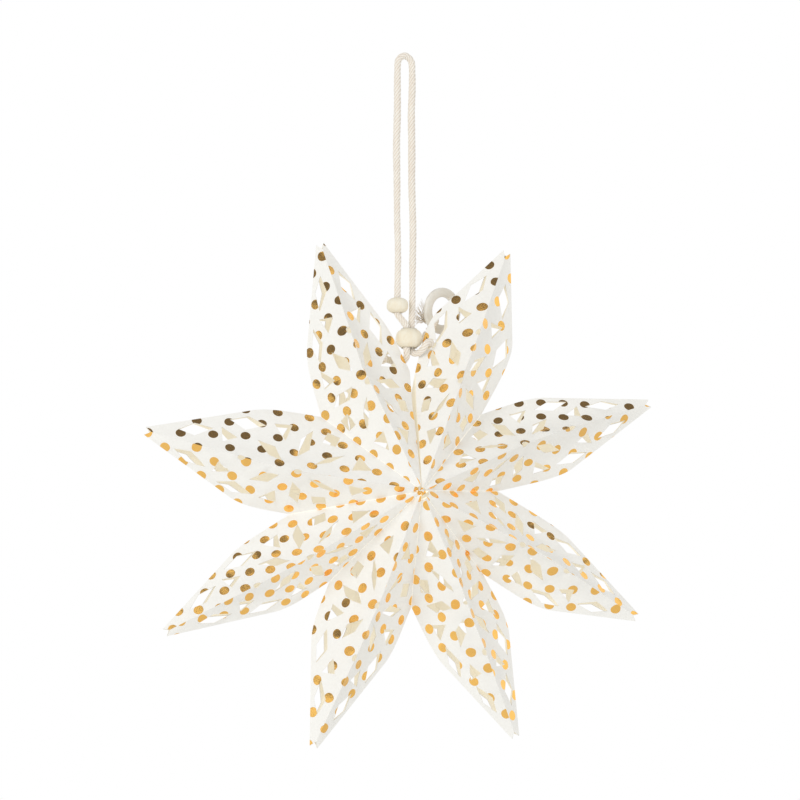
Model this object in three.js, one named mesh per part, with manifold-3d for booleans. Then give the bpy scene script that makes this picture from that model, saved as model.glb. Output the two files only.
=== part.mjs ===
// A hollow eight-point paper star that hangs on a looped cotton cord with two wooden beads.
// Each point is one die-cut sheet, folded to a leaf with four panels, two walls and an open tip.
// Millimetres, +Z up. The star faces -Y. The origin is the hanging point, inside the top of the loop.
import * as THREE from 'three';
import { mergeGeometries, mergeVertices } from 'three/addons/utils/BufferGeometryUtils.js';
import Module from 'manifold-3d';

const wasm = await Module();
wasm.setup();

// Driving dimensions of the paper star
const PAPER = 0.35;
const GLUE_FILM = 0.3;
const GLUE_CLEARANCE = 0.25;
const GLUE_INSET = 5;
const STAR_DROP = 254;
const CORE_RADIUS = 5;
const APEX_HEIGHT = 37;
const BEND_REACH = 78;
const BEND_HEIGHT = 27;
const SHOULDER_STEP = 16;
const SHOULDER_BULGE = 1.2;
const PRONG_HALF_WIDTH = 2.2;
const TIP_HEIGHT = 1.5;
const NOTCH_DEPTH = 3;
const OPEN_SEAM_HALF_ANGLE = 1.2;

// The eight points, clockwise from the upper left. direction is in degrees from +X towards +Z,
// lean is how far the ridge bends sideways, and left and right are the widest place of each side
// edge as [reach, half width], seen with the tip up.
const POINTS = [
  { direction: 109, reach: 153, lean: 7, left: [89, 30], right: [90, 24] },
  { direction: 67.5, reach: 157, lean: 1, left: [99, 27], right: [101, 26] },
  { direction: 23, reach: 157, lean: 4, left: [90, 28], right: [90, 20] },
  { direction: -24.5, reach: 150, lean: 2, left: [86, 26], right: [93, 21.5] },
  { direction: -64, reach: 148, lean: -1, left: [84, 25], right: [84, 23] },
  { direction: -110.5, reach: 152, lean: 1.5, left: [82, 24], right: [86, 25] },
  { direction: -150, reach: 161, lean: 2.5, left: [89, 21.5], right: [96, 22.5] },
  { direction: -192.5, reach: 155, lean: 6, left: [90, 27], right: [87, 31] },
];

// The seams, each clockwise of the point with the same place in the list. The first is left open.
const SEAMS = [
  { direction: 86.5, reach: 74 },
  { direction: 48.5, reach: 68 },
  { direction: 7.5, reach: 55 },
  { direction: -41.5, reach: 61 },
  { direction: -86.5, reach: 61 },
  { direction: -132.5, reach: 65 },
  { direction: -171, reach: 68 },
  { direction: -223, reach: 67 },
];

// The die's windows on one panel. Each corner is [share of the reach, share of the way from the
// ridge to the side edge], so that the pattern follows each point's own outline.
const WINDOWS = {
  tipLozenge: [[0.885, 0.57], [0.825, 0.34], [0.76, 0.63], [0.83, 0.84]],
  ridgeTriangle: [[0.732, 0.66], [0.672, 0.42], [0.724, 0.28]],
  edgeKite: [[0.705, 0.84], [0.645, 0.6], [0.573, 0.7], [0.64, 0.88]],
  ridgeLozenge: [[0.6, 0.42], [0.558, 0.18], [0.507, 0.14], [0.535, 0.36]],
  edgeTriangle: [[0.545, 0.75], [0.498, 0.5], [0.478, 0.78]],
  middleKite: [[0.452, 0.26], [0.41, 0.4], [0.4, 0.74], [0.442, 0.58]],
  seamArrow: [[0.364, 0.58], [0.315, 0.62], [0.3, 0.86], [0.347, 0.8]],
  innerLozenge: [[0.397, 0.14], [0.335, 0.26], [0.282, 0.52], [0.343, 0.34]],
  innerTriangle: [[0.256, 0.22], [0.182, 0.42], [0.23, 0.66]],
};
const RIDGE_SLOT_PLACES = [0.45, 0.655];
const RIDGE_SLOT_LENGTH = 4.2;
const RIDGE_SLOT_WIDTH = 2.6;

// Driving dimensions of the cord, beads and ring
const CORD_DIAMETER = 3.8;
const STEPS_PER_POINT = 2;
const CORD_SIDES = 8;
const CORD_GAP = 0.3;
const STRAND_SPACING = 9.2;
const STRAND_STAGGER = 1;
const CORD_HOLE_DIAMETER = 6.2;
const LARGE_BEAD = { width: 15, height: 11.5, bore: 8.8, x: 2.45, y: 0, z: -161.2 };
const SMALL_BEAD = { width: 12, height: 9, bore: 4.4, z: -142.7 };
const BEAD_END_SHARE = 0.66;
const BEAD_SIDES = 28;
const RING_OUTER_DIAMETER = 26.6;
const RING_BORE = 16;
const RING_THICKNESS = 2.6;
const RING_PLACE = new THREE.Vector3(23.5, 5.9, -143.5);
const RING_FACING = new THREE.Vector3(-0.434, 0.893, 0.119);
const RING_TO_HITCH = new THREE.Vector3(-0.562, -0.165, -0.811);
const SIGHT_LINE = new THREE.Vector3(0.256, 0.954, 0.156);
const HITCH_TUBE = 1.1;
const KNOT_RADIUS = 3.6;
const KNOT_LENGTH = 6.4;
const TAIL_STRANDS = 15;
const TAIL_LENGTHS = [8, 11];
const TAIL_ROOT_SHARE = 0.8;
const TAIL_ANGLE = 0;
const TAIL_SPREAD = 38;

const CORD_RADIUS = CORD_DIAMETER / 2;
const radians = THREE.MathUtils.degToRad;

// Materials
const paper = new THREE.MeshStandardMaterial({ color: 0xfaf8f4, roughness: 0.75, metalness: 0 });
const glue = new THREE.MeshStandardMaterial({ color: 0xe6e0d2, roughness: 0.4, metalness: 0 });
const cotton = new THREE.MeshStandardMaterial({ color: 0xe9dfc8, roughness: 0.9, metalness: 0 });
const maple = new THREE.MeshStandardMaterial({ color: 0xe9d9b4, roughness: 0.5, metalness: 0 });
const pearl = new THREE.MeshStandardMaterial({ color: 0xe1dcd2, roughness: 0.25, metalness: 0 });

const part = new THREE.Group();

function addPiece(name, geometry, material, holder = part) {
  const mesh = new THREE.Mesh(geometry, material.clone());
  mesh.name = name;
  holder.add(mesh);
  return mesh;
}

// Solids for booleans and back
function toSolid(geometry) {
  const bare = geometry.clone();
  bare.deleteAttribute('normal');
  bare.deleteAttribute('uv');
  const merged = mergeVertices(bare, 1e-4);
  return new wasm.Manifold(new wasm.Mesh({
    numProp: 3,
    vertProperties: merged.attributes.position.array,
    triVerts: new Uint32Array(merged.index.array),
  }));
}

function toGeometry(solid) {
  const mesh = solid.getMesh();
  const geometry = new THREE.BufferGeometry();
  geometry.setAttribute('position', new THREE.BufferAttribute(mesh.vertProperties, 3));
  geometry.setIndex(new THREE.BufferAttribute(mesh.triVerts, 1));
  geometry.computeVertexNormals();
  return geometry;
}

// A straight run through a list of [along, across] corners
function across(corners, along) {
  let k = 1;
  while (k < corners.length - 1 && along > corners[k][0]) k += 1;
  const [from, to] = [corners[k - 1], corners[k]];
  return THREE.MathUtils.mapLinear(along, from[0], to[0], from[1], to[1]);
}

// The corners of one point, in its own frame: x towards the tip, z to its left, front at -y.
function pointCorners(index) {
  const point = POINTS[index];
  const corners = {
    ridge: [
      [CORE_RADIUS, 0, APEX_HEIGHT],
      [BEND_REACH, point.lean, BEND_HEIGHT],
      [point.reach - NOTCH_DEPTH, 0, TIP_HEIGHT],
    ],
  };
  for (const side of ['left', 'right']) {
    const sign = side === 'left' ? 1 : -1;
    const seamIndex = side === 'left' ? (index + POINTS.length - 1) % POINTS.length : index;
    const seam = SEAMS[seamIndex];
    const opening = seamIndex === 0 ? OPEN_SEAM_HALF_ANGLE : 0;
    const turn = THREE.MathUtils.euclideanModulo(sign * (seam.direction - point.direction), 360);
    const angle = radians(turn - opening);
    const offset = GLUE_FILM / 2 + GLUE_CLEARANCE + PAPER / 2;
    const onWall = (radius) => [
      radius * Math.cos(angle) + offset * Math.sin(angle),
      sign * (radius * Math.sin(angle) - offset * Math.cos(angle)),
      APEX_HEIGHT * (1 - radius / seam.reach),
    ];
    const [kinkReach, kinkWidth] = point[side];
    const shoulderReach = kinkReach + SHOULDER_STEP;
    const straight = THREE.MathUtils.mapLinear(
      shoulderReach, kinkReach, point.reach, kinkWidth, PRONG_HALF_WIDTH);
    corners[side] = [
      onWall(CORE_RADIUS),
      onWall(seam.reach),
      [kinkReach, sign * kinkWidth, 0],
      [shoulderReach, sign * (straight + SHOULDER_BULGE), 0],
      [point.reach, sign * PRONG_HALF_WIDTH, 0],
    ];
  }
  return corners;
}

// The facets of one point: per side, six triangles on the front, six on the back, and the wall
// that is glued to the next point.
function pointFacets(corners) {
  const facets = [];
  const [ridgeStart, bend, ridgeEnd] = corners.ridge;
  const place = ([x, z, height], face) => new THREE.Vector3(x, face * height, z);
  for (const side of ['left', 'right']) {
    const [start, valley, kink, shoulder, prong] = corners[side];
    for (const face of [-1, 1]) {
      const outline = [
        [ridgeStart, start, bend],
        [start, valley, bend],
        [bend, valley, kink],
        [bend, kink, shoulder],
        [bend, shoulder, prong],
        [bend, prong, ridgeEnd],
      ];
      for (const corner of outline) facets.push(corner.map((c) => place(c, face)));
    }
    facets.push([place(start, -1), place(valley, -1), place(start, 1)]);
  }
  return facets;
}

// A closed sheet of even thickness on triangular facets, mitred where they fold. Each facet is
// turned to face away from the x axis, which runs inside the leaf.
function foldedSheet(facets, thickness) {
  const points = [];
  const keys = new Map();
  const indexOf = (p) => {
    const key = p.toArray().map((value) => value.toFixed(4)).join(' ').replaceAll('-0.0000', '0.0000');
    if (!keys.has(key)) {
      keys.set(key, points.length);
      points.push({ at: p, normals: [] });
    }
    return keys.get(key);
  };
  const triangles = [];
  for (const facet of facets) {
    const normal = new THREE.Triangle(...facet).getNormal(new THREE.Vector3());
    const middle = new THREE.Triangle(...facet).getMidpoint(new THREE.Vector3());
    const outward = normal.y * middle.y + normal.z * middle.z > 0;
    if (!outward) normal.negate();
    const ids = (outward ? facet : facet.toReversed()).map(indexOf);
    ids.forEach((id) => points[id].normals.push(normal));
    triangles.push(ids);
  }
  const half = points.map(({ normals }) => mitre(normals, thickness / 2));
  const vertices = [];
  points.forEach(({ at }, i) => vertices.push(...at.clone().add(half[i]).toArray()));
  points.forEach(({ at }, i) => vertices.push(...at.clone().sub(half[i]).toArray()));
  const count = points.length;
  const faces = [];
  const edges = new Set(triangles.flatMap(([a, b, c]) => [`${a},${b}`, `${b},${c}`, `${c},${a}`]));
  for (const [a, b, c] of triangles) {
    faces.push(a, b, c, count + c, count + b, count + a);
    for (const [from, to] of [[a, b], [b, c], [c, a]]) {
      if (edges.has(`${to},${from}`)) continue;
      faces.push(to, from, count + from, to, count + from, count + to);
    }
  }
  const geometry = new THREE.BufferGeometry();
  geometry.setAttribute('position', new THREE.Float32BufferAttribute(vertices, 3));
  geometry.setIndex(faces);
  return geometry;
}

// The move that lies the same distance in front of every face round a corner, by least squares
function mitre(normals, distance) {
  const softness = 1e-3;
  const sum = new THREE.Matrix3().set(softness, 0, 0, 0, softness, 0, 0, 0, softness);
  const target = new THREE.Vector3();
  for (const n of normals) {
    const [x, y, z] = n.toArray();
    const square = [x * x, x * y, x * z, x * y, y * y, y * z, x * z, y * z, z * z];
    square.forEach((value, i) => { sum.elements[i] += value; });
    target.addScaledVector(n, distance);
  }
  return target.applyMatrix3(sum.invert());
}

// A cutter that runs straight through the closed leaf, as the die does. from and to are its ends
// along y.
function cutter(outline, from, to) {
  const shape = new THREE.Shape(outline.map(([x, z]) => new THREE.Vector2(x, z)));
  const geometry = new THREE.ExtrudeGeometry(shape, { depth: to - from, bevelEnabled: false });
  geometry.translate(0, 0, -to);
  geometry.rotateX(Math.PI / 2);
  return toSolid(geometry);
}

function roundOutline(x, z, halfLength, halfWidth, sides) {
  return Array.from({ length: sides }, (_, i) => {
    const angle = (i + 0.5) * 2 * Math.PI / sides;
    return [x + halfLength * Math.cos(angle), z + halfWidth * Math.sin(angle)];
  });
}

// A place on the plan of a point, from a share of its reach and of its width there
function onPlan(index, corners, side, [alongShare, acrossShare]) {
  const along = alongShare * POINTS[index].reach;
  const ridge = across(corners.ridge, along);
  const edge = across(corners[side], along);
  return [along, ridge + acrossShare * (edge - ridge)];
}

// The holes that the cord is threaded through, in the plan of the point that has them
function pointFrame(index) {
  const turn = new THREE.Matrix4().makeRotationY(-radians(POINTS[index].direction));
  return turn.setPosition(0, 0, -STAR_DROP);
}

function planOf(index, place) {
  const local = place.clone().applyMatrix4(pointFrame(index).invert());
  return [local.x, local.z];
}

const LEFT_HOLE = new THREE.Vector3(-8, 5, -173.2);
const RIGHT_HOLE = new THREE.Vector3(14.3, 0, -164.1);

function starPoint(index) {
  const corners = pointCorners(index);
  let solid = toSolid(foldedSheet(pointFacets(corners), PAPER));
  const through = APEX_HEIGHT + PAPER;
  for (const outline of Object.values(WINDOWS)) {
    for (const side of ['left', 'right']) {
      const window = outline.map((corner) => onPlan(index, corners, side, corner));
      if (side === 'right') window.reverse();
      solid = solid.subtract(cutter(window, -through, through));
    }
  }
  for (const place of RIDGE_SLOT_PLACES) {
    const [x, z] = onPlan(index, corners, 'left', [place, 0]);
    const slot = roundOutline(x, z, RIDGE_SLOT_LENGTH / 2, RIDGE_SLOT_WIDTH / 2, 6);
    solid = solid.subtract(cutter(slot, -through, through));
  }
  const hole = index === 0 ? LEFT_HOLE : index === 1 ? RIGHT_HOLE : null;
  if (hole) {
    const [x, z] = planOf(index, hole);
    const radius = CORD_HOLE_DIAMETER / 2;
    const from = index === 0 ? 0 : -through;
    solid = solid.subtract(cutter(roundOutline(x, z, radius, radius, 10), from, through));
  }
  return toGeometry(solid);
}

const star = new THREE.Group();
star.position.z = -STAR_DROP;
part.add(star);
POINTS.forEach((point, index) => {
  const mesh = addPiece(`star_point_${index + 1}`, starPoint(index), paper, star);
  mesh.rotation.y = -radians(point.direction);
});

// Glue films: a thin triangle of adhesive between the walls of two neighbouring points
SEAMS.forEach((seam, index) => {
  if (index === 0) return;
  const heightAt = (radius) => APEX_HEIGHT * (1 - radius / seam.reach) - GLUE_INSET / 2;
  const inner = CORE_RADIUS + GLUE_INSET;
  const outer = seam.reach - GLUE_INSET;
  const film = new THREE.Shape([
    new THREE.Vector2(inner, -heightAt(inner)),
    new THREE.Vector2(outer, 0),
    new THREE.Vector2(inner, heightAt(inner)),
  ]);
  const geometry = new THREE.ExtrudeGeometry(film, { depth: GLUE_FILM, bevelEnabled: false });
  geometry.translate(0, 0, -GLUE_FILM / 2);
  const mesh = addPiece(`glue_film_${index + 1}`, geometry, glue, star);
  mesh.rotation.y = -radians(seam.direction);
});

// Beads: turned, drilled through, with a barrel outline
function beadGeometry({ width, height, bore }) {
  const outerRadius = width / 2;
  const swell = height / 2 / Math.sqrt(1 - BEAD_END_SHARE ** 2);
  const outline = [new THREE.Vector2(bore / 2, -height / 2)];
  const steps = 12;
  for (let i = 0; i <= steps; i += 1) {
    const z = THREE.MathUtils.mapLinear(i, 0, steps, -height / 2, height / 2);
    outline.push(new THREE.Vector2(outerRadius * Math.sqrt(1 - (z / swell) ** 2), z));
  }
  outline.push(new THREE.Vector2(bore / 2, height / 2), outline[0].clone());
  return new THREE.LatheGeometry(outline, BEAD_SIDES).rotateX(Math.PI / 2);
}

const largeBead = addPiece('large_bead', beadGeometry(LARGE_BEAD), maple);
largeBead.position.set(LARGE_BEAD.x, LARGE_BEAD.y, LARGE_BEAD.z);
const smallBead = addPiece('small_bead', beadGeometry(SMALL_BEAD), maple);
smallBead.position.set(-STRAND_SPACING / 2, -STRAND_STAGGER, SMALL_BEAD.z);

// The ring leans on the back of the second point, half past its left side edge, and its hitch
// keeps it upright. It stands as far off the panel as its own rim and its hitch need.
const ringPoint = 1;
const ringCorners = pointCorners(ringPoint);
const ringPanel = new THREE.Plane().setFromCoplanarPoints(
  ...[ringCorners.ridge[1], ringCorners.left[3], ringCorners.left[4]]
    .map(([x, z, height]) => new THREE.Vector3(x, height, z).applyMatrix4(pointFrame(ringPoint))));
if (ringPanel.normal.y < 0) ringPanel.negate();
const bandRadius = (RING_OUTER_DIAMETER + RING_BORE) / 4;
const bandWidth = (RING_OUTER_DIAMETER - RING_BORE) / 2;
const ringNormal = RING_FACING.clone().normalize();
const ringToHitch = RING_TO_HITCH.clone().projectOnPlane(ringNormal).normalize();
const ringAcross = new THREE.Vector3().crossVectors(ringNormal, ringToHitch);
const hitchDepth = RING_THICKNESS / 2 + CORD_GAP + 2 * HITCH_TUBE;
const hitchWidth = bandWidth / 2 + CORD_GAP + 2 * HITCH_TUBE;
const towardsPanel = (direction) => -direction.dot(ringPanel.normal);
const leanOf = Math.hypot(towardsPanel(ringToHitch), towardsPanel(ringAcross));
const rimNeeds = leanOf * RING_OUTER_DIAMETER / 2 - towardsPanel(ringNormal) * RING_THICKNESS / 2;
const hitchNeeds = bandRadius * towardsPanel(ringToHitch)
  + Math.hypot(towardsPanel(ringNormal) * hitchDepth, towardsPanel(ringToHitch) * hitchWidth);
const ringStandOff = PAPER / 2 + CORD_GAP + Math.max(rimNeeds, hitchNeeds);
const ringDepth = (ringStandOff - ringPanel.distanceToPoint(RING_PLACE)) / ringPanel.normal.dot(SIGHT_LINE);
const ringFrame = new THREE.Group();
new THREE.Matrix4().makeBasis(ringToHitch, ringAcross, ringNormal)
  .setPosition(RING_PLACE.clone().addScaledVector(SIGHT_LINE, ringDepth))
  .decompose(ringFrame.position, ringFrame.quaternion, ringFrame.scale);
part.add(ringFrame);

const ringOutline = roundOutline(bandRadius, 0, bandWidth / 2, RING_THICKNESS / 2, 12);
const ringProfile = [...ringOutline, ringOutline[0]].map(([x, y]) => new THREE.Vector2(x, y));
const ringGeometry = new THREE.LatheGeometry(ringProfile, 36).rotateX(Math.PI / 2);
addPiece('cord_ring', ringGeometry, pearl, ringFrame);

// The hitch: one turn of cord round the ring's band, drawn out to the band's width
const hitchCentreRadius = RING_THICKNESS / 2 + CORD_GAP + HITCH_TUBE;
const hitchDraw = (bandWidth - RING_THICKNESS) / 2;
const hitchOutline = roundOutline(hitchCentreRadius, 0, HITCH_TUBE, HITCH_TUBE, 8);
const hitchProfile = [...hitchOutline, hitchOutline[0]].map(([x, y]) => new THREE.Vector2(x, y));
const hitchGeometry = new THREE.LatheGeometry(hitchProfile, 16);
const hitchPlaces = hitchGeometry.attributes.position;
for (let i = 0; i < hitchPlaces.count; i += 1) {
  const [x, z] = [hitchPlaces.getX(i), hitchPlaces.getZ(i)];
  hitchPlaces.setX(i, x + hitchDraw * x / Math.hypot(x, z));
}
const hitch = addPiece('ring_hitch', hitchGeometry, cotton, ringFrame);
hitch.position.x = bandRadius;

// The cord's route, from the stopper knot inside the first point, through the beads, over the
// hanging point and down to the hitch. Its points are chosen by hand, and lie closer together
// where the cord turns. The steps follow the points.
class SteppedCurve extends THREE.CatmullRomCurve3 {
  getUtoTmapping(u) {
    return u;
  }
}
const STRAND_X = STRAND_SPACING / 2;
const strandHeights = [-8, -28, -48, -68, -88, -108, -128];
const leftStrand = strandHeights.toReversed().map((z) => [-STRAND_X, -STRAND_STAGGER, z]);
const rightStrand = strandHeights.map((z) => [STRAND_X, STRAND_STAGGER, z]);
const route = [
  [-11.8, 1.6, -173], [-8.6, 4.6, -173.2], [-5, 7.2, -173.4], [-1.4, 6.6, -173.6],
  [0.8, 3.4, -173], [1.2, 0.2, -170.8], [0.8, -1.2, -168], [0.76, -1.22, -162],
  [0.7, -1.22, -155.2], [-1.5, -1.2, -151.9], [-4.1, -1.1, -149.2], [-STRAND_X, -STRAND_STAGGER, -147.4],
  [-STRAND_X, -STRAND_STAGGER, -138], ...leftStrand, [-4.1, -0.9, -1.2], [-2.3, -0.5, 1],
  [0, 0, CORD_RADIUS], [2.3, 0.5, 1], [4.1, 0.9, -1.2], ...rightStrand,
  [STRAND_X, STRAND_STAGGER, -144], [4.2, 1.2, -154], [4.14, 1.22, -161], [4.14, 1.22, -166.8],
  [4.9, 0.4, -169], [7, -2.2, -169.8], [9.2, -5, -167.8], [10.8, -7, -164.8],
  [12.5, -6.4, -163.6], [14.2, -4, -164], [14.6, 0, -164.2], [14.6, 4.5, -164.2],
  [14.9, 8.8, -163.4], [14.9, 11, -161.2], [14.8, 12, -158.3], [16.35, 11.15, -155.4],
].map(([x, y, z]) => new THREE.Vector3(x, y, z));
const cordPath = new SteppedCurve(route, false, 'centripetal');
const section = new THREE.Shape(roundOutline(0, 0, CORD_RADIUS, CORD_RADIUS, CORD_SIDES)
  .map(([x, y]) => new THREE.Vector2(x, y)));
const cordSteps = STEPS_PER_POINT * (route.length - 1);
const cordGeometry = new THREE.ExtrudeGeometry(section, { steps: cordSteps, extrudePath: cordPath });
addPiece('hanging_cord', cordGeometry, cotton);

// The stopper knot on the cord's first end
const towardsKnot = cordPath.getTangent(0).negate();
const knotOutline = new THREE.EllipseCurve(0, 0, KNOT_RADIUS, KNOT_LENGTH / 2, -Math.PI / 2, Math.PI / 2);
const knot = addPiece('stopper_knot', new THREE.LatheGeometry(knotOutline.getPoints(8), 12), cotton);
knot.quaternion.setFromUnitVectors(new THREE.Vector3(0, 1, 0), towardsKnot);
knot.position.copy(route[0]).addScaledVector(towardsKnot, KNOT_LENGTH / 2 + CORD_GAP);

// The frayed tail: the cord's second end, opened to a fan that passes behind the ring
function tailGeometry() {
  const rootRadius = CORD_RADIUS * TAIL_ROOT_SHARE;
  let solid = toSolid(new THREE.CylinderGeometry(rootRadius, rootRadius, 1.2, 8).translate(0, 0.6, 0));
  for (let i = 0; i < TAIL_STRANDS; i += 1) {
    const swing = THREE.MathUtils.mapLinear(i, 0, TAIL_STRANDS - 1, -TAIL_SPREAD, TAIL_SPREAD);
    const length = THREE.MathUtils.mapLinear(i, 0, TAIL_STRANDS - 1, ...TAIL_LENGTHS) - (i % 3);
    const strand = new THREE.ConeGeometry(0.5, length, 4).translate(0, length / 2 + 0.4, 0);
    strand.rotateX(radians(2 + 7 * (i % 3))).rotateZ(radians(swing));
    solid = solid.add(toSolid(strand));
  }
  return toGeometry(solid);
}
const tail = addPiece('frayed_tail', tailGeometry(), cotton, ringFrame);
const tailLift = RING_THICKNESS / 2 + CORD_GAP + CORD_RADIUS * TAIL_ROOT_SHARE;
tail.position.set(bandRadius, HITCH_TUBE + 2 * CORD_GAP, tailLift);
tail.rotation.z = radians(TAIL_ANGLE);

export default part;
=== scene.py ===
# The looks of a folded paper star ornament that hangs on a looped cotton cord with two beads.
# Metres, +Z up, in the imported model's frame. The star faces -Y, and the origin is the hanging point.
# The object's shapes are worked out in millimetres and made metres where their mesh is built.
import math

import bmesh
import bpy
import numpy as np
from mathutils import Matrix, Vector
from mathutils.geometry import delaunay_2d_cdt


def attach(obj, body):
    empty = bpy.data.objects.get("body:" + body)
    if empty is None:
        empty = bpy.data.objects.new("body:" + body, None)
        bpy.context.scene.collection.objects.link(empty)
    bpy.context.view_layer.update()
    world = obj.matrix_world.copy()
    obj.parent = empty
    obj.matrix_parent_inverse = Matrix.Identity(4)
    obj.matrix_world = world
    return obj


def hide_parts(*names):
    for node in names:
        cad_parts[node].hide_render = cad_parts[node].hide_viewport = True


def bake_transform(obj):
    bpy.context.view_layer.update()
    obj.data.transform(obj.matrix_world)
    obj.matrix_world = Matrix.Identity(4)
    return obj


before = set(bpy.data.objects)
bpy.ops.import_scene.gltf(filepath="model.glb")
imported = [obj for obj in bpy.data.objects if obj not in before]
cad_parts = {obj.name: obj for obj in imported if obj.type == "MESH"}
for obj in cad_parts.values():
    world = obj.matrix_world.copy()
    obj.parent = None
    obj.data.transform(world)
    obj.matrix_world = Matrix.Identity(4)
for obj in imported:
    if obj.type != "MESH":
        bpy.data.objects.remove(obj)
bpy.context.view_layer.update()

# The camera
# It looks slightly up at the star from the front left, with a long lens from six metres away, and
# the frame holds the whole loop above the star.
scene = bpy.context.scene
scene.view_settings.view_transform = "Standard"
STAR_DROP = 254
STAR_CENTRE = Vector((0, 0, -STAR_DROP / 1000))
VIEW_RIGHT = Vector((0.9659, -0.2588, 0.0))
VIEW_UP = Vector((-0.0405, -0.1511, 0.9877))
VIEW_BACK = Vector((-0.2556, -0.9540, -0.1564))
AIM_RIGHT, AIM_UP = -0.00283, 0.0566
CAMERA_DISTANCE = 6.0
camera_data = bpy.data.cameras.new("camera")
camera_data.lens = 477
camera_data.sensor_width = 36
camera_data.clip_end = 60
camera = bpy.data.objects.new("camera", camera_data)
scene.collection.objects.link(camera)
aim = STAR_CENTRE + VIEW_RIGHT * AIM_RIGHT + VIEW_UP * AIM_UP
camera_turn = Matrix((VIEW_RIGHT, VIEW_UP, VIEW_BACK)).transposed().to_4x4()
camera.matrix_world = Matrix.Translation(aim + VIEW_BACK * CAMERA_DISTANCE) @ camera_turn
scene.camera = camera


# The hanging cord
# A laid cord of undyed cotton, 3.8 mm thick, cream with painted shade darkening its furrows, and a loose
# nap. It runs from the knot inside the first point, up through the beads, over the hanging point, down
# again and through the second point to the ring.
# The crests of the plies stand a little outside the cord's named diameter
CORD_RADIUS = 1.95
PLIES, LAY = 6, 14.5
PLY_DEPTH, PLY_ROUNDNESS, SLUB = 0.26, 0.7, 0.02
LEFT_X, RIGHT_X = -4.6, 4.6
LARGE_BEAD_Z = -161.2
ROUTE = [
    (-11.8, 1.6, -173), (-8.6, 4.6, -173.2), (-5, 7.2, -173.4), (-1.4, 6.6, -173.6),
    (0.8, 3.4, -173), (1.2, 0.2, -170.8), (0.8, -1.2, -168), (0.76, -1.22, -162),
    (0.7, -1.22, -155.2), (-0.9, -1.2, -152.2), (-3.3, -1.1, -149.4), (LEFT_X, -1, -147.2),
    (LEFT_X, -1, -138), *((LEFT_X, -1, z) for z in range(-128, 0, 20)),
    (-4.1, -0.9, -1.2), (-2.3, -0.5, 1), (0, 0, 1.9), (2.3, 0.5, 1), (4.1, 0.9, -1.2),
    *((RIGHT_X, 1, z) for z in range(-8, -129, -20)),
    (RIGHT_X, 1, -144), (4.2, 1.2, -154), (4.14, 1.22, -161), (4.14, 1.22, -166.8),
    (4.9, 0.4, -169), (7, -2.2, -169.8), (9.2, -5, -167.8), (10.8, -7, -164.8),
    (12.5, -6.4, -163.6), (14.2, -4, -164), (14.6, 0, -164.2), (14.6, 4.5, -164.2),
    (14.9, 8.8, -163.4), (14.9, 11, -161.2), (14.8, 12, -158.3), (16.35, 11.15, -155.4),
]
# The soft bends of the two strands as (size, length of a radian, start), and how thick they are as
# (height, share of the cord's radius)
LEFT_BENDS = [(0.35, 21, 1.2), (0.12, 6.5, 0)]
RIGHT_BENDS = [(0.4, 23, 0.2), (0.15, 7.5, 2)]
LEFT_SHIFT = -0.1
BENDS_BOTTOM, BENDS_TOP, BENDS_EASE = -140, -12, 20
LEFT_SWELL = [(-150, 1.0), (-121, 0.94), (-86, 0.96), (-71, 1.04), (-53, 1.09), (-27, 1.08), (-8, 1.0)]
RIGHT_SWELL = [(-150, 0.97), (-132, 0.92), (-121, 1.0), (-82, 1.03), (-53, 1.1), (-27, 1.08), (-8, 1.0)]


def new_material(name):
    material = bpy.data.materials.new(name)
    material.use_nodes = True
    tree = material.node_tree
    return material, tree, tree.nodes["Principled BSDF"]


def link(tree, node, output, target, socket):
    tree.links.new(node.outputs[output], target.inputs[socket])


def add_node(tree, kind, **settings):
    """A node with its own settings, or with inputs set by name, or by number as at_1."""
    node = tree.nodes.new(kind)
    for key, value in settings.items():
        if key in node.bl_rna.properties:
            setattr(node, key, value)
        else:
            node.inputs[int(key[3:]) if key.startswith("at_") else key].default_value = value
    return node


def set_inputs(node, values):
    for name, value in values.items():
        node.inputs[name].default_value = value


def object_noise(tree, **settings):
    place = add_node(tree, "ShaderNodeTexCoord")
    noise = add_node(tree, "ShaderNodeTexNoise", **settings)
    link(tree, place, "Object", noise, "Vector")
    return noise


def two_tone(tree, source, output, dark, light, low=0.0, high=1.0):
    """A ramp from a dark to a light colour."""
    ramp = add_node(tree, "ShaderNodeValToRGB")
    for stop, position, colour in zip(ramp.color_ramp.elements, (low, high), (dark, light)):
        stop.position = position
        stop.color = (*colour, 1)
    link(tree, source, output, ramp, "Fac")
    return ramp


def bumped(tree, shader, source, output, strength, distance, under=None):
    """Small dents and grains on the surface, over those of another bump if there is one."""
    bump = add_node(tree, "ShaderNodeBump", Strength=strength, Distance=distance)
    link(tree, source, output, bump, "Height")
    if under:
        link(tree, under, "Normal", bump, "Normal")
    link(tree, bump, "Normal", shader, "Normal")
    return bump


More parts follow.
